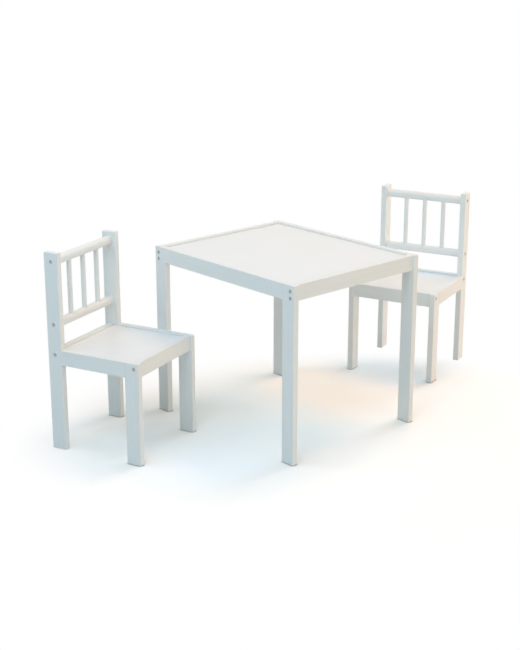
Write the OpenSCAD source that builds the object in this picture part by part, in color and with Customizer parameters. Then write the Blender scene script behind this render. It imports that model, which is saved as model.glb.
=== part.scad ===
// A child's table with an inset top and two matching spindle-back chairs.
// Millimetres, +Z up, floor at Z = 0. The table's long sides run along X and its front faces -Y.
// The origin is the middle of the whole set's box, on the floor.

/* [Table] */
// Length of the table's long side
table_w = 600; // [450:10:900]
// Length of the table's short side
table_d = 500; // [400:10:700]
// Height of the table
table_h = 520; // [400:10:650]
// Height of the rails under the table's edge
table_rail_h = 45; // [42:1:80]

/* [Chair] */
// Width of a chair over its side frames
chair_w = 300; // [260:5:400]
// Depth of a chair from front legs to back posts
chair_d = 300; // [260:5:400]
// Height of the back posts
chair_h = 580; // [500:5:700]
// Height of the seat's rails above the floor
seat_h = 300; // [240:5:340]
// Height of the rails round the seat
chair_rail_h = 44; // [42:1:60]

/* [Chair back] */
// Height of the two rounded back bars
bar_h = 26.5; // [24:0.5:36]
// Depth of the two rounded back bars
bar_d = 23; // [23:1:30]
// Corner radius of the back bars
bar_r = 11; // [3:0.5:11]
// Middle of the top bar, down from the post's top
top_bar_drop = 25.5; // [20:0.5:60]
// Middle of the lower bar, up from the seat's rails
lower_bar_rise = 73; // [50:1:110]
// Diameter of the upright spindles
spindle_d = 14.5; // [9:0.5:16]
// Depth of the sockets that the spindles stand in
socket_depth = 10; // [6:1:11]

/* [Boards and panels] */
// Broad face of every leg and post
leg_w = 45; // [40:1:60]
// Thickness of every leg, post and flat rail
board_t = 18; // [16:1:24]
// Radius of the eased edges
edge_r = 1; // [0.5:0.5:3]
// Radius of the edges round a leg's foot
foot_r = 3; // [1:0.5:4]
// How far the cross rails sit back from the legs' edges
rail_setback = 6; // [0:1:10]
// How far the panels lie below the tops of their rails
panel_recess = 5; // [2:0.5:7]
// Thickness of the table's panel
table_panel_t = 6; // [5:0.5:9]
// Thickness of the seat's panel
seat_panel_t = 5; // [4:0.5:8]
// Thickness of the tongue round each panel
tongue_t = 2.5; // [2:0.5:3.5]
// Depth of the groove that takes the tongue
groove_depth = 6; // [4:0.5:8]
// Clear gap between a panel's edge and the wood round it
panel_gap = 0.5; // [0.2:0.1:1]
// Clear height above and below a tongue in its groove
groove_clear = 0.1; // [0.05:0.05:0.3]

/* [Fasteners] */
// Diameter of a bolt's shank
bolt_d = 6; // [5:0.5:7]
// Diameter of a bolt's head
head_d = 10; // [9:0.5:11]
// Height of a bolt's head
head_h = 4.5; // [3:0.5:5]
// Key size of the hexagon socket in the head
key_size = 4; // [3:0.5:5]
// Diameter of the recess round a head
recess_d = 11.5; // [11.2:0.1:13]
// Depth of the recess round a head
recess_depth = 5; // [5:0.5:8]
// Diameter of a barrel nut
nut_d = 10; // [9:0.5:10.5]
// Wood left outside each end of a barrel nut
nut_cover = 2; // [1.5:0.5:3]
// Barrel nut's middle, in from the end of its rail
nut_inset = 30; // [24:1:36]
// Length of bolt past the middle of its nut
bolt_past_nut = 8; // [6:1:12]
// Wood left between a groove and the nut below it
nut_web = 0.8; // [0.5:0.1:3]
// Table's lower bolt, up from the lower edge of the rail
lower_bolt_rise = 9; // [7:0.5:10]
// Diameter of a wooden dowel
dowel_d = 8; // [6:1:8]
// Length of a wooden dowel
dowel_l = 30; // [26:1:34]
// Lower dowel, up from the lower edge of its rail
dowel_rise = 10; // [8:0.5:11]
// Depth of a dowel in its leg or post
dowel_depth = 12; // [8:0.5:13]

/* [Places] */
// Turn of both chairs against the table, in degrees
chair_turn = 19.8; // [0:0.1:25]
// Middle of the near chair along X, from the table's middle
near_x = -173; // [-220:1:-120]
// Clear gap between the table's front and the near chair
near_gap = 32; // [10:1:200]
// Middle of the far chair along X, from the table's middle
far_x = -71; // [-150:1:50]
// Clear gap between the table's back and the far chair
far_gap = 193.5; // [50:0.5:300]

/* [Hidden] */
$fn = 48;

// Colours
PAINT = [0.93, 0.93, 0.92];
PANEL_PAINT = [0.95, 0.95, 0.94];
STEEL = [0.50, 0.48, 0.47];
BEECH = [0.80, 0.64, 0.45];

// Clearances on the radius, round a dowel, spindle or thread, a bolt's shank and a barrel nut
slip = 0.05;
bolt_slip = 0.3;
nut_slip = 0.1;
// Clear room at the end of a dowel, a spindle or a nut, and past a bolt's tip
end_clear = 0.5;
tip_clear = 2;
// How far a cut runs past the face that it opens
cut = 1;

// Fasteners
bolt_l = board_t - recess_depth + nut_inset + bolt_past_nut;
bolt_hole_d = bolt_d + 2 * bolt_slip;
bolt_hole_l = nut_inset + bolt_past_nut + tip_clear;
nut_l = board_t - 2 * nut_cover;
// Width and depth of the slot that turns a barrel nut
nut_slot = 1.2;

// The highest place for a nut in a rail whose top is at top_z, under the panel's groove
function under_groove(top_z, panel_t) =
    top_z - panel_recess - panel_t - groove_clear - nut_web - nut_d / 2;

// Table, measured from its own middle
leg_x = table_w / 2 - leg_w / 2;
leg_y = table_d / 2 - board_t / 2;
long_rail_l = table_w - 2 * leg_w;
short_rail_l = table_d - 2 * board_t;
short_rail_x = table_w / 2 - rail_setback - board_t / 2;
table_opening_x = short_rail_x - board_t / 2;
table_rail_z = table_h - table_rail_h / 2;
table_bolt_z = [under_groove(table_h, table_panel_t), table_h - table_rail_h + lower_bolt_rise];
table_dowel_z = [table_bolt_z[0], table_h - table_rail_h + dowel_rise];

// Chair, measured from the middle of its footprint
side_x = chair_w / 2 - board_t / 2;
inner_x = chair_w / 2 - board_t;
post_y = chair_d / 2 - leg_w / 2;
front_rail_y = -chair_d / 2 + rail_setback + board_t / 2;
side_rail_l = chair_d - 2 * leg_w;
chair_rail_z = seat_h - chair_rail_h / 2;
top_bar_z = chair_h - top_bar_drop;
lower_bar_z = seat_h + lower_bar_rise;
seat_bolt_z = under_groove(seat_h, seat_panel_t);
post_bolt_z = [seat_bolt_z, lower_bar_z, top_bar_z];
locating_z = seat_h - chair_rail_h + dowel_rise;
side_dowel_z = [seat_bolt_z, locating_z];
spindle_pitch = inner_x / 2;
spindle_l = top_bar_z - lower_bar_z - bar_h + 2 * (socket_depth - end_clear);

// Half of the room that a turned chair takes along X and along Y, round its eased corners
corner = [chair_w / 2 - edge_r, chair_d / 2 - edge_r];
function half_x(turn) = corner.x * abs(cos(turn)) + corner.y * abs(sin(turn)) + edge_r;
function half_y(turn) = corner.x * abs(sin(turn)) + corner.y * abs(cos(turn)) + edge_r;

// The chairs' places from the table's middle
near_turn = 90 + chair_turn;
far_turn = chair_turn;
near_y = -(table_d / 2 + near_gap + half_y(near_turn));
far_y = table_d / 2 + far_gap + half_y(far_turn);

// The set's box round the table's middle, whose own middle becomes the origin
low_x = min(-table_w / 2, near_x - half_x(near_turn), far_x - half_x(far_turn));
high_x = max(table_w / 2, near_x + half_x(near_turn), far_x + half_x(far_turn));
low_y = near_y - half_y(near_turn);
high_y = far_y + half_y(far_turn);
table_place = [-(low_x + high_x) / 2, -(low_y + high_y) / 2, 0];

// ---- Shapes that repeat ----

// A rectangle with round corners, about its middle
module round_rect(w, h, r) {
    square([w - 2 * r, h], center = true);
    square([w, h - 2 * r], center = true);
    for (sx = [-1, 1], sy = [-1, 1])
        translate([sx * (w / 2 - r), sy * (h / 2 - r)]) circle(r);
}

// The same with the two lowest corners rounded as a foot
module standing_rect(w, h) {
    translate([0, -h / 4]) round_rect(w, h / 2, foot_r);
    translate([0, foot_r / 2]) round_rect(w, h - foot_r, edge_r);
}

// A leg or post, about its middle, with all its edges eased
module upright_board(size) {
    intersection() {
        linear_extrude(size.z, center = true) round_rect(size.x, size.y, edge_r);
        rotate([90, 0, 0]) linear_extrude(size.y, center = true) standing_rect(size.x, size.z);
        rotate([90, 0, 90]) linear_extrude(size.x, center = true) standing_rect(size.y, size.z);
    }
}

// A bar along X with square ends and its long edges rounded
module bar_x(l, depth, height, r) {
    rotate([90, 0, 90]) linear_extrude(l, center = true) round_rect(depth, height, r);
}

// The same along Y
module bar_y(l, depth, height, r) {
    rotate([0, 0, 90]) bar_x(l, depth, height, r);
}

// The stepped hole for a bolt through a leg: the outer face is at Z = 0, the wood below it
module head_hole() {
    translate([0, 0, -recess_depth]) cylinder(d = recess_d, h = recess_depth + cut);
    translate([0, 0, -board_t - cut]) cylinder(d = bolt_hole_d, h = board_t + cut);
}

// The hole for the same bolt in a rail: the rail's end is at Z = 0, the wood below it
module rail_bolt_hole() {
    translate([0, 0, -bolt_hole_l]) cylinder(d = bolt_hole_d, h = bolt_hole_l + cut);
}

// A socket-head bolt seated in its hole
module bolt() {
    translate([0, 0, -recess_depth]) difference() {
        union() {
            cylinder(d = head_d, h = head_h);
            translate([0, 0, -bolt_l]) cylinder(d = bolt_d, h = bolt_l);
        }
        translate([0, 0, head_h / 2]) cylinder(d = key_size / cos(30), h = head_h, $fn = 6);
    }
}

// A barrel nut lying along Z, bored across along X, with a turning slot in its top
module barrel_nut() {
    difference() {
        cylinder(d = nut_d, h = nut_l, center = true);
        rotate([0, 90, 0]) cylinder(d = bolt_d + 2 * slip, h = nut_d + cut, center = true);
        translate([0, 0, nut_l / 2]) cube([nut_d + cut, nut_slot, 2 * nut_slot], center = true);
    }
}

// The blind hole for a nut, open towards +Z, where the rail's face is open_z above the nut's middle
module nut_hole(open_z) {
    floor_z = -nut_l / 2 - end_clear;
    translate([0, 0, floor_z]) cylinder(d = nut_d + 2 * nut_slip, h = open_z + cut - floor_z);
}

// A dowel across the joint at Z = 0, with the leg above and the rail below
module dowel() {
    translate([0, 0, dowel_depth - dowel_l]) cylinder(d = dowel_d, h = dowel_l);
}

// The two holes that take it, with a little room at each end
module dowel_hole() {
    translate([0, 0, dowel_depth - dowel_l - end_clear])
        cylinder(d = dowel_d + 2 * slip, h = dowel_l + 2 * end_clear);
}

// The groove for a panel's tongue, along X, cut towards +Y into the face at Y = 0.
// Z = 0 is the level of the panel's face.
module groove(l, panel_t) {
    translate([-l / 2 - cut, -cut, -panel_t - groove_clear])
        cube([l + 2 * cut, groove_depth + cut, tongue_t + 2 * groove_clear]);
}

// A board t thick, lying on Z = 0 and reaching from x0 to x1 and from y0 to y1
module lying_board(x0, x1, y0, y1, t) {
    translate([x0, y0, 0]) cube([x1 - x0, y1 - y0, t]);
}

// Copies its children on the left and on the right
module both_sides() {
    for (side = [0, 1]) mirror([side, 0, 0]) children();
}

// Copies its children at the front and at the back
module both_ends() {
    for (end = [0, 1]) mirror([0, end, 0]) children();
}

// ---- Table, about its own middle; the back right corner is drawn and the rest mirrored ----

module at_table() {
    translate(table_place) children();
}

// The bolts through the leg into the right rail, Z out of the leg's back face
module at_table_bolts() {
    for (z = table_bolt_z)
        translate([short_rail_x, table_d / 2, z]) rotate([-90, 0, 0]) children();
}

// The nuts on those bolts, Z towards the rail's inner face
module at_table_nuts() {
    for (z = table_bolt_z)
        translate([short_rail_x, short_rail_l / 2 - nut_inset, z])
            rotate([0, -90, 0]) rotate([0, 0, 90]) children();
}

// The dowels from the back rail into the leg
module at_table_dowels() {
    for (z = table_dowel_z)
        translate([long_rail_l / 2, leg_y, z]) rotate([0, 90, 0]) children();
}

module table_leg() {
    color(PAINT) difference() {
        translate([leg_x, leg_y, table_h / 2]) upright_board([leg_w, board_t, table_h]);
        at_table_bolts() head_hole();
        at_table_dowels() dowel_hole();
    }
}

module table_long_rail() {
    color(PAINT) difference() {
        translate([0, leg_y, table_rail_z]) bar_x(long_rail_l, board_t, table_rail_h, edge_r);
        translate([0, short_rail_l / 2, table_h - panel_recess]) groove(long_rail_l, table_panel_t);
        both_sides() at_table_dowels() dowel_hole();
    }
}

module table_short_rail() {
    color(PAINT) difference() {
        translate([short_rail_x, 0, table_rail_z]) bar_y(short_rail_l, board_t, table_rail_h, edge_r);
        translate([table_opening_x, 0, table_h - panel_recess]) rotate([0, 0, -90])
            groove(short_rail_l, table_panel_t);
        both_ends() {
            translate([0, -board_t, 0]) at_table_bolts() rail_bolt_hole();
            at_table_nuts() nut_hole(board_t / 2);
        }
    }
}

// The tabletop's panel. It fills the opening between the rails, and its tongues reach into their
// grooves, notched at the corners where the legs stand.
module table_top() {
    face_x = table_opening_x - panel_gap;
    face_y = short_rail_l / 2 - panel_gap;
    notch_x = long_rail_l / 2 - panel_gap;
    color(PANEL_PAINT) translate([0, 0, table_h - panel_recess - table_panel_t]) {
        lying_board(-face_x, face_x, -face_y, face_y, table_panel_t);
        lying_board(-notch_x, notch_x, -face_y - groove_depth, face_y + groove_depth, tongue_t);
        lying_board(-face_x - groove_depth, face_x + groove_depth, -face_y, face_y, tongue_t);
    }
}

module table_bolts() {
    color(STEEL) both_sides() both_ends() at_table_bolts() bolt();
}

module table_barrel_nuts() {
    color(STEEL) both_sides() both_ends() at_table_nuts() barrel_nut();
}

module table_dowels() {
    color(BEECH) both_sides() both_ends() at_table_dowels() dowel();
}

// ---- Chair, about the middle of its footprint, front towards -Y; the right side is drawn ----

module at_near_chair() {
    translate(table_place + [near_x, near_y, 0]) rotate([0, 0, near_turn]) children();
}

module at_far_chair() {
    translate(table_place + [far_x, far_y, 0]) rotate([0, 0, far_turn]) children();
}

// Places along the side frame's outer face, Z out of it
module at_side_bolts(y, heights) {
    for (z = heights)
        translate([chair_w / 2, y, z]) rotate([0, 90, 0]) children();
}

// The nuts of the rail at y, Z towards the rail's inner face: inward is 1 for +Y and -1 for -Y
module at_rail_nut(y, inward) {
    translate([inner_x - nut_inset, y, seat_bolt_z]) rotate([-90 * inward, 0, 0]) children();
}

// The nut of a back bar at height z, Z downwards
module at_bar_nut(z) {
    translate([inner_x - nut_inset, post_y, z]) rotate([180, 0, 0]) children();
}

// The dowels from the side rail into the post, and into the front leg
module at_post_dowels() {
    for (z = side_dowel_z)
        translate([side_x, side_rail_l / 2, z]) rotate([-90, 0, 0]) children();
}

module at_front_leg_dowels() {
    mirror([0, 1, 0]) at_post_dowels() children();
}

// The dowel that keeps the rail at y from turning
module at_locating_dowel(y) {
    translate([inner_x, y, locating_z]) rotate([0, 90, 0]) children();
}

module chair_post() {
    color(PAINT) difference() {
        translate([side_x, post_y, chair_h / 2]) upright_board([board_t, leg_w, chair_h]);
        at_side_bolts(post_y, post_bolt_z) head_hole();
        at_post_dowels() dowel_hole();
        at_locating_dowel(post_y) dowel_hole();
    }
}

module chair_front_leg() {
    color(PAINT) difference() {
        translate([side_x, -post_y, seat_h / 2]) upright_board([board_t, leg_w, seat_h]);
        at_side_bolts(front_rail_y, [seat_bolt_z]) head_hole();
        at_front_leg_dowels() dowel_hole();
        at_locating_dowel(front_rail_y) dowel_hole();
    }
}

module chair_side_rail() {
    color(PAINT) difference() {
        translate([side_x, 0, chair_rail_z]) bar_y(side_rail_l, board_t, chair_rail_h, edge_r);
        translate([inner_x, 0, seat_h - panel_recess]) rotate([0, 0, -90])
            groove(side_rail_l, seat_panel_t);
        at_post_dowels() dowel_hole();
        at_front_leg_dowels() dowel_hole();
    }
}

// A rail across the chair at y, with its inner face towards +Y or -Y
module chair_cross_rail(y, inward) {
    color(PAINT) difference() {
        translate([0, y, chair_rail_z]) bar_x(2 * inner_x, board_t, chair_rail_h, edge_r);
        translate([0, y + inward * board_t / 2, seat_h - panel_recess])
            rotate([0, 0, inward > 0 ? 180 : 0]) groove(2 * inner_x, seat_panel_t);
        both_sides() {
            translate([-board_t, 0, 0]) at_side_bolts(y, [seat_bolt_z]) rail_bolt_hole();
            at_rail_nut(y, inward) nut_hole(board_t / 2);
            at_locating_dowel(y) dowel_hole();
        }
    }
}

module chair_front_rail() {
    chair_cross_rail(front_rail_y, 1);
}

module chair_rear_rail() {
    chair_cross_rail(post_y, -1);
}

// The seat's panel, tongued into the rails like the tabletop
module chair_seat() {
    face_x = inner_x - panel_gap;
    front_y = front_rail_y + board_t / 2 + panel_gap;
    back_y = post_y - board_t / 2 - panel_gap;
    notch_y = side_rail_l / 2 - panel_gap;
    color(PANEL_PAINT) translate([0, 0, seat_h - panel_recess - seat_panel_t]) {
        lying_board(-face_x, face_x, front_y, back_y, seat_panel_t);
        lying_board(-face_x, face_x, front_y - groove_depth, back_y + groove_depth, tongue_t);
        lying_board(-face_x - groove_depth, face_x + groove_depth, -notch_y, notch_y, tongue_t);
    }
}

// A rounded bar between the posts at height z, its sockets open upwards (1) or downwards (-1)
module chair_back_bar(z, open) {
    color(PAINT) difference() {
        translate([0, post_y, z]) bar_x(2 * inner_x, bar_d, bar_h, bar_r);
        both_sides() {
            translate([-board_t, 0, 0]) at_side_bolts(post_y, [z]) rail_bolt_hole();
            at_bar_nut(z) nut_hole(bar_h / 2);
        }
        for (k = [-1, 0, 1])
            translate([k * spindle_pitch, post_y, z + open * (bar_h - socket_depth + cut) / 2])
                cylinder(d = spindle_d + 2 * slip, h = socket_depth + cut, center = true);
    }
}

module chair_top_bar() {
    chair_back_bar(top_bar_z, -1);
}

module chair_lower_bar() {
    chair_back_bar(lower_bar_z, 1);
}

// The spindle k places to the right of the middle
module chair_spindle(k) {
    color(PAINT) translate([k * spindle_pitch, post_y, (top_bar_z + lower_bar_z) / 2])
        cylinder(d = spindle_d, h = spindle_l, center = true);
}

module chair_bolts() {
    color(STEEL) both_sides() {
        at_side_bolts(post_y, post_bolt_z) bolt();
        at_side_bolts(front_rail_y, [seat_bolt_z]) bolt();
    }
}

module chair_barrel_nuts() {
    color(STEEL) both_sides() {
        at_rail_nut(front_rail_y, 1) barrel_nut();
        at_rail_nut(post_y, -1) barrel_nut();
        for (z = [lower_bar_z, top_bar_z]) at_bar_nut(z) barrel_nut();
    }
}

module chair_dowels() {
    color(BEECH) both_sides() {
        at_post_dowels() dowel();
        at_front_leg_dowels() dowel();
        for (y = [front_rail_y, post_y]) at_locating_dowel(y) dowel();
    }
}

// ---- What is drawn ----

at_table() table_leg();  // table_leg_back_right
at_table() mirror([1, 0, 0]) table_leg();  // table_leg_back_left
at_table() mirror([0, 1, 0]) table_leg();  // table_leg_front_right
at_table() rotate([0, 0, 180]) table_leg();  // table_leg_front_left
at_table() table_long_rail();  // table_rail_back
at_table() mirror([0, 1, 0]) table_long_rail();  // table_rail_front
at_table() table_short_rail();  // table_rail_right
at_table() mirror([1, 0, 0]) table_short_rail();  // table_rail_left
at_table() table_top();
at_table() table_bolts();
at_table() table_barrel_nuts();
at_table() table_dowels();

at_near_chair() chair_post();  // near_chair_post_right
at_near_chair() mirror([1, 0, 0]) chair_post();  // near_chair_post_left
at_near_chair() chair_front_leg();  // near_chair_front_leg_right
at_near_chair() mirror([1, 0, 0]) chair_front_leg();  // near_chair_front_leg_left
at_near_chair() chair_side_rail();  // near_chair_side_rail_right
at_near_chair() mirror([1, 0, 0]) chair_side_rail();  // near_chair_side_rail_left
at_near_chair() chair_front_rail();  // near_chair_front_rail
at_near_chair() chair_rear_rail();  // near_chair_rear_rail
at_near_chair() chair_seat();  // near_chair_seat
at_near_chair() chair_top_bar();  // near_chair_top_bar
at_near_chair() chair_lower_bar();  // near_chair_lower_bar
at_near_chair() chair_spindle(-1);  // near_chair_spindle_left
at_near_chair() chair_spindle(0);  // near_chair_spindle_middle
at_near_chair() chair_spindle(1);  // near_chair_spindle_right
at_near_chair() chair_bolts();  // near_chair_bolts
at_near_chair() chair_barrel_nuts();  // near_chair_barrel_nuts
at_near_chair() chair_dowels();  // near_chair_dowels

at_far_chair() chair_post();  // far_chair_post_right
at_far_chair() mirror([1, 0, 0]) chair_post();  // far_chair_post_left
at_far_chair() chair_front_leg();  // far_chair_front_leg_right
at_far_chair() mirror([1, 0, 0]) chair_front_leg();  // far_chair_front_leg_left
at_far_chair() chair_side_rail();  // far_chair_side_rail_right
at_far_chair() mirror([1, 0, 0]) chair_side_rail();  // far_chair_side_rail_left
at_far_chair() chair_front_rail();  // far_chair_front_rail
at_far_chair() chair_rear_rail();  // far_chair_rear_rail
at_far_chair() chair_seat();  // far_chair_seat
at_far_chair() chair_top_bar();  // far_chair_top_bar
at_far_chair() chair_lower_bar();  // far_chair_lower_bar
at_far_chair() chair_spindle(-1);  // far_chair_spindle_left
at_far_chair() chair_spindle(0);  // far_chair_spindle_middle
at_far_chair() chair_spindle(1);  // far_chair_spindle_right
at_far_chair() chair_bolts();  // far_chair_bolts
at_far_chair() chair_barrel_nuts();  // far_chair_barrel_nuts
at_far_chair() chair_dowels();  // far_chair_dowels
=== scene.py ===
"""A child's table and two chairs in satin white paint, on a pale studio floor.

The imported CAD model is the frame: metres, +Z up, the set standing on Z = 0. The CAD boards, bars, spindles
and bolts keep their meshes and get procedural materials here.
"""

import math

import bpy
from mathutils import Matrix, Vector

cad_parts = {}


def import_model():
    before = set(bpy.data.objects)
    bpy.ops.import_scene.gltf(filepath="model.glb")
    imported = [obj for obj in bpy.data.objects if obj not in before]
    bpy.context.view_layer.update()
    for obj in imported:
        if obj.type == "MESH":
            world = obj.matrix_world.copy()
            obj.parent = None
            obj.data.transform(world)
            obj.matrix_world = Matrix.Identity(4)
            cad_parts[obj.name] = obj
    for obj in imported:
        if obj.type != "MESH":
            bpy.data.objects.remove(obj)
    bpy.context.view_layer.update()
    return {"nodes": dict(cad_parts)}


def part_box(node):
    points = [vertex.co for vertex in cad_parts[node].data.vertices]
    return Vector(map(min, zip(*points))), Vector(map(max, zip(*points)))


# ---- Sizes and levels ----

# The chairs' turns against the table, as in the part's source: the near chair stands a quarter turn further
CHAIR_TURN = math.radians(19.8)
TURNS = {
    "table": 0.0,
    "near_chair": math.radians(90) + CHAIR_TURN,
    "far_chair": CHAIR_TURN,
}

# The camera looks at a point near the table's middle, at about half its height. Its lens and its sensor are
# in millimetres.
CAMERA_AZIMUTH = math.radians(47.79)
CAMERA_ELEVATION = math.radians(17.72)
CAMERA_DISTANCE = 4.0511
CAMERA_LENS = 90.56
CAMERA_SENSOR_WIDTH = 36.0
AIM_FROM_TABLE = Vector((-0.1394, 0.0262, 0.25))

SATIN_WHITE = (0.86, 0.86, 0.85)
PANEL_WHITE = (0.88, 0.88, 0.875)
# The same paint in the wood's pores, and where it is thin along an edge
WARM_WHITE = (0.86, 0.85, 0.82)
THIN_PAINT = (0.84, 0.80, 0.73)
STEEL_DARK = (0.42, 0.405, 0.41)
STEEL_LIGHT = (0.54, 0.525, 0.53)
BEECH_DARK = (0.42, 0.26, 0.13)
BEECH_LIGHT = (0.60, 0.41, 0.23)
# What is left of the paint's colour over a dark band, between two bands, in a pore and in a panel's clouds
BAND_SHADE, BETWEEN_SHADE, PORE_SHADE, CLOUD_SHADE = 0.972, 0.993, 0.96, 0.985
# Roughness at the low and at the high end of each material's noise
WOOD_PAINT_ROUGHNESS = (0.34, 0.46)
PANEL_PAINT_ROUGHNESS = (0.37, 0.43)
STEEL_ROUGHNESS = (0.52, 0.38)
BEECH_ROUGHNESS = 0.7

# Each material's features: how many there are to the metre across the grain, how far they are drawn out
# along it (below 1 is longer), and how deep they are in metres
RING_BANDS, BAND_STRETCH, BAND_DEPTH = 70.0, (0.05, 1.0, 1.0), 0.0003
FIBRES, FIBRE_STRETCH, FIBRE_DEPTH = 520.0, (0.025, 1.0, 1.0), 0.00006
BRUSH_DRAG, DRAG_STRETCH, DRAG_DEPTH = 1500.0, (0.015, 1.0, 1.0), 0.00002
WORN_PATCHES = 14.0
ORANGE_PEEL, PEEL_DEPTH = 420.0, 0.00005
SPRAY_WAVES, WAVE_DEPTH = 30.0, 0.0001
PANEL_CLOUDS = 9.0
STEEL_MOTTLE = 700.0
TURNING_MARKS, MARK_DEPTH = 3000.0, 0.00003
BEECH_FLECKS, FLECK_STRETCH, FLECK_DEPTH = 400.0, (0.2, 1.0, 1.0), 0.00005

# A flat face's normal has a part of 1 in one of the furniture's directions. Where the largest part is down
# to this, the surface counts fully as an edge.
EDGE_TURN = 0.8


# ---- Materials ----


def grey(level):
    return (level,) * 3


def shade(colour, factor):
    return tuple(c * factor for c in colour)


def new_material(name):
    """A node material: returns it with its node tree and its Principled shader."""
    material = bpy.data.materials.new(name)
    material.use_nodes = True
    nodes = material.node_tree.nodes
    shader = next(n for n in nodes if n.type == "BSDF_PRINCIPLED")
    return material, material.node_tree, shader


def grain_space(tree, turn, along):
    """The surface's own coordinates, turned with the furniture so that X runs along the board."""
    place = tree.nodes.new("ShaderNodeTexCoord")
    mapping = tree.nodes.new("ShaderNodeMapping")
    mapping.vector_type = "TEXTURE"
    tree.links.new(place.outputs["Object"], mapping.inputs["Vector"])
    mapping.inputs["Rotation"].default_value = {
        "x": (0.0, 0.0, turn),
        "y": (0.0, 0.0, turn + math.radians(90)),
        "z": (0.0, math.radians(-90), 0.0),
    }[along]
    return mapping.outputs["Vector"]


def noise(tree, vector, scale, stretch=(1.0, 1.0, 1.0), detail=4.0):
    """Noise with that many features to the metre. A stretch below 1 draws them out along that axis."""
    mapping = tree.nodes.new("ShaderNodeMapping")
    mapping.inputs["Scale"].default_value = stretch
    texture = tree.nodes.new("ShaderNodeTexNoise")
    texture.inputs["Scale"].default_value = scale
    texture.inputs["Detail"].default_value = detail
    tree.links.new(vector, mapping.inputs["Vector"])
    tree.links.new(mapping.outputs["Vector"], texture.inputs["Vector"])
    return texture.outputs["Fac"]


def ramp(tree, value, stops):
    """A colour ramp through (place, colour) stops."""
    node = tree.nodes.new("ShaderNodeValToRGB")
    elements = node.color_ramp.elements
    while len(elements) < len(stops):
        elements.new(0.5)
    for element, (place, colour) in zip(elements, stops):
        element.position = place
        element.color = (*colour, 1.0)
    tree.links.new(value, node.inputs["Fac"])
    return node.outputs["Color"]


def roughness(tree, value, low_end, high_end):
    """Goes from low_end to high_end as the noise rises."""
    return ramp(tree, value, [(0.3, grey(low_end)), (0.7, grey(high_end))])


def bump(tree, height, distance, below=None):
    """The normal of a surface that height raises by up to that distance, on top of the bumps below."""
    node = tree.nodes.new("ShaderNodeBump")
    node.inputs["Distance"].default_value = distance
    tree.links.new(height, node.inputs["Height"])
    if below is not None:
        tree.links.new(below, node.inputs["Normal"])
    return node.outputs["Normal"]


def maths(tree, operation, first, second):
    """What a Math node makes of two sockets."""
    node = tree.nodes.new("ShaderNodeMath")
    node.operation = operation
    tree.links.new(first, node.inputs[0])
    tree.links.new(second, node.inputs[1])
    return node.outputs["Value"]


# The Mix node's sockets for numbers, vectors and colours share their names, so the colour ones go by place
MIX_COLOUR_INPUTS = (6, 7)
MIX_COLOUR_OUTPUT = 2


def blend(tree, factor, *colours):
    """Mixes two colours: each is a socket or a plain colour."""
    node = tree.nodes.new("ShaderNodeMix")
    node.data_type = "RGBA"
    tree.links.new(factor, node.inputs["Factor"])
    for place, colour in zip(MIX_COLOUR_INPUTS, colours):
        if isinstance(colour, tuple):
            node.inputs[place].default_value = (*colour, 1.0)
        else:
            tree.links.new(colour, node.inputs[place])
    return node.outputs[MIX_COLOUR_OUTPUT]


def edge_mask(tree, turn):
    """One along a board's rounded edges and nought on its flat faces: how far the surface turns away
    from the furniture's own three directions."""
    normal = tree.nodes.new("ShaderNodeNewGeometry").outputs["Normal"]
    rotate = tree.nodes.new("ShaderNodeVectorRotate")
    rotate.rotation_type = "Z_AXIS"
    rotate.inputs["Angle"].default_value = -turn
    tree.links.new(normal, rotate.inputs["Vector"])
    size = tree.nodes.new("ShaderNodeVectorMath")
    size.operation = "ABSOLUTE"
    tree.links.new(rotate.outputs["Vector"], size.inputs[0])
    parts = tree.nodes.new("ShaderNodeSeparateXYZ")
    tree.links.new(size.outputs["Vector"], parts.inputs["Vector"])
    largest = parts.outputs["X"]
    for axis in "YZ":
        largest = maths(tree, "MAXIMUM", largest, parts.outputs[axis])
    mask = tree.nodes.new("ShaderNodeMapRange")
    mask.inputs["From Min"].default_value = 1.0
    mask.inputs["From Max"].default_value = EDGE_TURN
    tree.links.new(largest, mask.inputs["Value"])
    return mask.outputs["Result"]


def painted_wood(name, turn, along, worn):
    """Satin white paint on solid wood. The year rings' bands and the fibres show faintly through it, the
    brush has left fine drag lines, and along worn edges the paint is thin and creamier."""
    material, tree, shader = new_material(name)
    vector = grain_space(tree, turn, along)
    bands = noise(tree, vector, RING_BANDS, BAND_STRETCH, 5.0)
    fibres = noise(tree, vector, FIBRES, FIBRE_STRETCH, 3.0)
    drag = noise(tree, vector, BRUSH_DRAG, DRAG_STRETCH, 2.0)
    dark, middle = shade(SATIN_WHITE, BAND_SHADE), shade(SATIN_WHITE, BETWEEN_SHADE)
    tone = ramp(tree, bands, [(0.32, dark), (0.52, middle), (0.7, SATIN_WHITE)])
    pores = ramp(tree, fibres, [(0.28, grey(1.0)), (0.42, grey(0.0))])
    colour = blend(tree, pores, tone, shade(WARM_WHITE, PORE_SHADE))
    if worn:
        patches = noise(tree, vector, WORN_PATCHES, detail=3.0)
        patches = ramp(tree, patches, [(0.38, grey(0.0)), (0.62, grey(1.0))])
        wear = maths(tree, "MULTIPLY", edge_mask(tree, turn), patches)
        colour = blend(tree, wear, colour, THIN_PAINT)
    tree.links.new(colour, shader.inputs["Base Color"])
    tree.links.new(roughness(tree, drag, *WOOD_PAINT_ROUGHNESS), shader.inputs["Roughness"])
    normal = bump(tree, bands, BAND_DEPTH)
    normal = bump(tree, fibres, FIBRE_DEPTH, below=normal)
    normal = bump(tree, drag, DRAG_DEPTH, below=normal)
    tree.links.new(normal, shader.inputs["Normal"])
    return material


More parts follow.
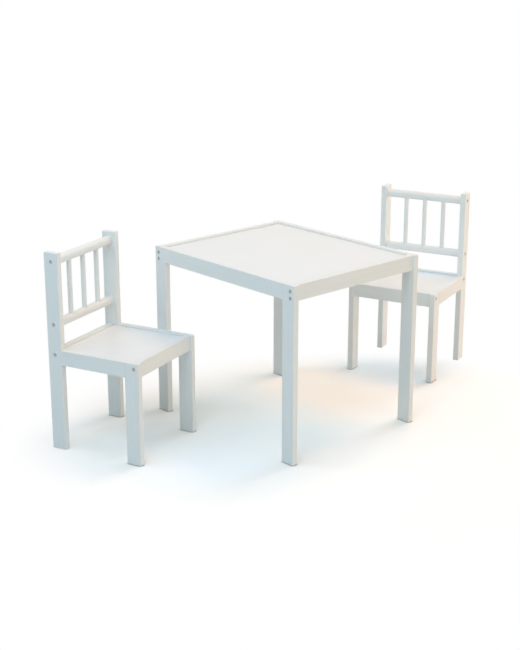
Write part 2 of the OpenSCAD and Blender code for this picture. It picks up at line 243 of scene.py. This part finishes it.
def painted_panel(name, turn):
    """The same paint sprayed on fibreboard: no grain, but a fine orange peel, slow waves and faint clouds."""
    material, tree, shader = new_material(name)
    vector = grain_space(tree, turn, "x")
    peel = noise(tree, vector, ORANGE_PEEL, detail=2.0)
    waves = noise(tree, vector, SPRAY_WAVES, detail=2.0)
    clouds = noise(tree, vector, PANEL_CLOUDS, detail=3.0)
    colour = ramp(tree, clouds, [(0.3, shade(PANEL_WHITE, CLOUD_SHADE)), (0.7, PANEL_WHITE)])
    tree.links.new(colour, shader.inputs["Base Color"])
    tree.links.new(roughness(tree, waves, *PANEL_PAINT_ROUGHNESS), shader.inputs["Roughness"])
    normal = bump(tree, waves, WAVE_DEPTH)
    tree.links.new(bump(tree, peel, PEEL_DEPTH, below=normal), shader.inputs["Normal"])
    return material


def zinc_steel(name):
    """Dull zinc-plated steel for the bolts and the barrel nuts: mottled, with turning marks."""
    material, tree, shader = new_material(name)
    place = tree.nodes.new("ShaderNodeTexCoord").outputs["Object"]
    mottle = noise(tree, place, STEEL_MOTTLE, detail=3.0)
    marks = noise(tree, place, TURNING_MARKS, detail=2.0)
    colour = ramp(tree, mottle, [(0.35, STEEL_DARK), (0.65, STEEL_LIGHT)])
    tree.links.new(colour, shader.inputs["Base Color"])
    tree.links.new(roughness(tree, mottle, *STEEL_ROUGHNESS), shader.inputs["Roughness"])
    tree.links.new(bump(tree, marks, MARK_DEPTH), shader.inputs["Normal"])
    shader.inputs["Metallic"].default_value = 1.0
    return material


def beech(name):
    """Bare beech for the dowels inside the joints, with its short dark flecks."""
    material, tree, shader = new_material(name)
    place = tree.nodes.new("ShaderNodeTexCoord").outputs["Object"]
    flecks = noise(tree, place, BEECH_FLECKS, FLECK_STRETCH)
    colour = ramp(tree, flecks, [(0.3, BEECH_DARK), (0.7, BEECH_LIGHT)])
    tree.links.new(colour, shader.inputs["Base Color"])
    tree.links.new(bump(tree, flecks, FLECK_DEPTH), shader.inputs["Normal"])
    shader.inputs["Roughness"].default_value = BEECH_ROUGHNESS
    return material


def grain_direction(node):
    """Which way a board's grain runs, from what the board is."""
    if any(word in node for word in ("leg", "post", "spindle")):
        return "z"
    if any(word in node for word in ("side_rail", "table_rail_left", "table_rail_right")):
        return "y"
    return "x"


def dress_nodes(nodes):
    """Gives every CAD node its material; boards that share a direction share one."""
    made = {}

    def once(name, make, *args):
        if name not in made:
            made[name] = make(name, *args)
        return made[name]

    for name, node in nodes.items():
        piece = next(p for p in TURNS if name.startswith(p))
        if name.endswith(("bolts", "barrel_nuts")):
            material = once("zinc_steel", zinc_steel)
        elif name.endswith("dowels"):
            material = once("beech", beech)
        elif name.endswith(("_top", "_seat")):
            material = once(f"{piece}_panel_paint", painted_panel, TURNS[piece])
        else:
            along = grain_direction(name)
            turned = name.endswith("_bar") or "spindle" in name
            kind = "turned" if turned else "board"
            material = once(f"{piece}_{kind}_paint_{along}", painted_wood, TURNS[piece], along, not turned)
        for slot in node.material_slots:
            slot.material = material


# ---- Studio ----

FLOOR_REACH = 12.0
FLOOR_COLOUR = (0.80, 0.80, 0.80)
FLOOR_ROUGHNESS = 0.9
FLOOR_SPECULAR = 0.2
# What is seen of the floor: its colour under the lamps, and the light added to its shadows
SEEN_FLOOR_COLOUR = (0.945, 0.912, 0.935)
SEEN_FLOOR_LIFT = (0.215, 0.204, 0.166)
# Dark contact round the feet and softer shade round the set: reach in metres, and how strong
CONTACT_SHADES = ((0.008, 0.8), (0.3, 0.3))
# The floor's shadows fade out in an ellipse that lies across the camera's view. Its middle is given from
# the table's middle, to the right and towards the camera, and its half axes likewise.
SHADOW_MIDDLE = (0.185, 0.138)
SHADOW_HALF_AXES = (1.027, 0.749)
# The fade starts at this share of the half axes
SHADOW_FADE_START = 0.686
# The lamps face a point this far above the floor, under the table's middle, from this distance
LAMP_AIM_HEIGHT = 0.25
LAMP_DISTANCE = 3.0
# The lamps' widths and heights
SMALL_BOX = (1.1, 1.1)
WIDE_BOX = (2.2, 1.1)
LARGE_BOX = (2.2, 2.2)
# Degrees above the floor: gloss mirrors no lamp that stands lower
LOWEST_MIRRORED_LAMP = 30.0
WORLD_COLOUR = (0.75, 1.00, 0.99)
WORLD_STRENGTH = 0.262


def seen(tree):
    """One where the camera looks, straight or by a reflection, and nought for light on its way to the set."""
    path = tree.nodes.new("ShaderNodeLightPath")
    value = path.outputs["Is Camera Ray"]
    for ray in ("Is Glossy Ray", "Is Transmission Ray"):
        value = maths(tree, "MAXIMUM", value, path.outputs[ray])
    return value


def mix_shaders(tree, factor, first, second):
    node = tree.nodes.new("ShaderNodeMixShader")
    tree.links.new(factor, node.inputs["Fac"])
    tree.links.new(first, node.inputs[1])
    tree.links.new(second, node.inputs[2])
    return node.outputs["Shader"]


def emission(tree, colour):
    node = tree.nodes.new("ShaderNodeEmission")
    node.inputs["Color"].default_value = (*colour, 1.0)
    return node.outputs["Emission"]


def contact_shade(tree):
    """One on the open floor, and less where something stands on it or close over it."""
    factor = None
    for reach, strength in CONTACT_SHADES:
        occlusion = tree.nodes.new("ShaderNodeAmbientOcclusion")
        occlusion.inputs["Distance"].default_value = reach
        weaken = tree.nodes.new("ShaderNodeMath")
        weaken.operation = "MULTIPLY_ADD"
        tree.links.new(occlusion.outputs["AO"], weaken.inputs[0])
        weaken.inputs[1].default_value = strength
        weaken.inputs[2].default_value = 1.0 - strength
        left = weaken.outputs["Value"]
        factor = left if factor is None else maths(tree, "MULTIPLY", factor, left)
    return factor


def shadow_fade(tree):
    """Nought where the floor keeps its shadows and one where it is plain white, away from the set."""
    right = Vector((math.cos(CAMERA_AZIMUTH), math.sin(CAMERA_AZIMUTH), 0.0))
    nearer = Vector((math.sin(CAMERA_AZIMUTH), -math.cos(CAMERA_AZIMUTH), 0.0))
    mapping = tree.nodes.new("ShaderNodeMapping")
    mapping.vector_type = "TEXTURE"
    mapping.inputs["Location"].default_value = right * SHADOW_MIDDLE[0] + nearer * SHADOW_MIDDLE[1]
    mapping.inputs["Rotation"].default_value = (0.0, 0.0, CAMERA_AZIMUTH)
    mapping.inputs["Scale"].default_value = (*SHADOW_HALF_AXES, 1.0)
    tree.links.new(tree.nodes.new("ShaderNodeTexCoord").outputs["Object"], mapping.inputs["Vector"])
    distance = tree.nodes.new("ShaderNodeVectorMath")
    distance.operation = "LENGTH"
    tree.links.new(mapping.outputs["Vector"], distance.inputs[0])
    fade = tree.nodes.new("ShaderNodeMapRange")
    fade.interpolation_type = "SMOOTHSTEP"
    fade.inputs["From Min"].default_value = SHADOW_FADE_START
    fade.inputs["From Max"].default_value = 1.0
    tree.links.new(distance.outputs["Value"], fade.inputs["Value"])
    return fade.outputs["Result"]


def make_floor(centre):
    """A pale floor that keeps the set's shadows and goes to plain white away from them."""
    bpy.ops.mesh.primitive_plane_add(size=2 * FLOOR_REACH, location=(centre.x, centre.y, 0.0))
    floor = bpy.context.object
    floor.name = "studio_floor"
    material, tree, shader = new_material("studio_floor")
    shader.inputs["Base Color"].default_value = (*FLOOR_COLOUR, 1.0)
    shader.inputs["Roughness"].default_value = FLOOR_ROUGHNESS
    shader.inputs["Specular IOR Level"].default_value = FLOOR_SPECULAR
    shade_factor = contact_shade(tree)
    shaded = tree.nodes.new("ShaderNodeVectorMath")
    shaded.operation = "SCALE"
    shaded.inputs[0].default_value = SEEN_FLOOR_COLOUR
    tree.links.new(shade_factor, shaded.inputs["Scale"])
    bright = tree.nodes.new("ShaderNodeBsdfDiffuse")
    tree.links.new(shaded.outputs["Vector"], bright.inputs["Color"])
    lift = emission(tree, SEEN_FLOOR_LIFT)
    tree.links.new(shade_factor, lift.node.inputs["Strength"])
    lifted = tree.nodes.new("ShaderNodeAddShader")
    tree.links.new(bright.outputs["BSDF"], lifted.inputs[0])
    tree.links.new(lift, lifted.inputs[1])
    white = emission(tree, grey(1.0))
    shown = mix_shaders(tree, shadow_fade(tree), lifted.outputs["Shader"], white)
    output = next(n for n in tree.nodes if n.type == "OUTPUT_MATERIAL")
    chosen = mix_shaders(tree, seen(tree), shader.outputs["BSDF"], shown)
    tree.links.new(chosen, output.inputs["Surface"])
    floor.data.materials.append(material)


def make_world():
    """Even light from all round; what the camera sees of it is plain white."""
    world = bpy.data.worlds.new("studio")
    bpy.context.scene.world = world
    world.use_nodes = True
    tree = world.node_tree
    light = next(n for n in tree.nodes if n.type == "BACKGROUND")
    light.inputs["Color"].default_value = (*WORLD_COLOUR, 1.0)
    light.inputs["Strength"].default_value = WORLD_STRENGTH
    white = tree.nodes.new("ShaderNodeBackground")
    white.inputs["Color"].default_value = (*grey(1.0), 1.0)
    output = next(n for n in tree.nodes if n.type == "OUTPUT_WORLD")
    chosen = mix_shaders(tree, seen(tree), light.outputs["Background"], white.outputs["Background"])
    tree.links.new(chosen, output.inputs["Surface"])


def direction(azimuth, elevation):
    """The unit vector from the object towards a camera or lamp at that azimuth and elevation."""
    flat = math.cos(elevation)
    return Vector((math.sin(azimuth) * flat, -math.cos(azimuth) * flat, math.sin(elevation)))


def aim(obj, target):
    """Turns a camera or lamp to look at target."""
    obj.rotation_mode = "QUATERNION"
    obj.rotation_quaternion = (target - obj.location).to_track_quat("-Z", "Y")


def softbox(target, name, at, size, colour, power):
    """A rectangular lamp that faces target. It stands at an azimuth and elevation in degrees, and its power
    is in watts. Gloss doesn't mirror the low ones, so that the tops don't glare in a low view from the other
    side."""
    azimuth, elevation = at
    lamp = bpy.data.lights.new(name, "AREA")
    lamp.shape = "RECTANGLE"
    lamp.size, lamp.size_y = size
    lamp.color = colour
    lamp.energy = power
    holder = bpy.data.objects.new(name, lamp)
    bpy.context.scene.collection.objects.link(holder)
    towards = direction(math.radians(azimuth), math.radians(elevation))
    holder.location = target + towards * LAMP_DISTANCE
    holder.visible_glossy = elevation >= LOWEST_MIRRORED_LAMP
    aim(holder, target)


def make_lamps(target):
    """Blue light from above, the front and the back; cream to orange light from the right, from high behind
    and from both front corners."""
    softbox(target, "overhead", at=(0, 89), size=LARGE_BOX, colour=(0.71, 0.75, 1.00), power=16.2)
    softbox(target, "warm_key", at=(180, 66), size=SMALL_BOX, colour=(1.00, 0.55, 0.21), power=31.2)
    softbox(target, "warm_side", at=(150, 6), size=SMALL_BOX, colour=(1.00, 0.41, 0.01), power=20.5)
    softbox(target, "cool_front", at=(15, 44), size=WIDE_BOX, colour=(0.27, 0.67, 1.00), power=24.6)
    softbox(target, "right_side", at=(90, 6), size=SMALL_BOX, colour=(1.00, 0.94, 0.83), power=16.1)
    softbox(target, "cool_back", at=(180, 24), size=SMALL_BOX, colour=(0.31, 0.73, 1.00), power=25.4)
    softbox(target, "left_front", at=(330, 44), size=SMALL_BOX, colour=(1.00, 0.93, 0.84), power=9.9)
    softbox(target, "low_back", at=(210, 6), size=SMALL_BOX, colour=(0.19, 0.70, 1.00), power=8.2)
    softbox(target, "right_front", at=(30, 44), size=SMALL_BOX, colour=(1.00, 0.75, 0.52), power=10.6)


def make_camera(target):
    data = bpy.data.cameras.new("camera")
    data.sensor_fit = "HORIZONTAL"
    data.sensor_width = CAMERA_SENSOR_WIDTH
    data.lens = CAMERA_LENS
    camera = bpy.data.objects.new("camera", data)
    bpy.context.scene.collection.objects.link(camera)
    camera.location = target + direction(CAMERA_AZIMUTH, CAMERA_ELEVATION) * CAMERA_DISTANCE
    aim(camera, target)
    bpy.context.scene.camera = camera


# ---- The scene ----


def main():
    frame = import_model()
    dress_nodes(frame["nodes"])

    low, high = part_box("table_top")
    table_centre = Vector(((low.x + high.x) / 2, (low.y + high.y) / 2, 0.0))
    make_floor(table_centre)
    make_world()
    make_lamps(table_centre + Vector((0.0, 0.0, LAMP_AIM_HEIGHT)))
    make_camera(table_centre + AIM_FROM_TABLE)

    scene = bpy.context.scene
    scene.view_settings.view_transform = "Standard"


main()
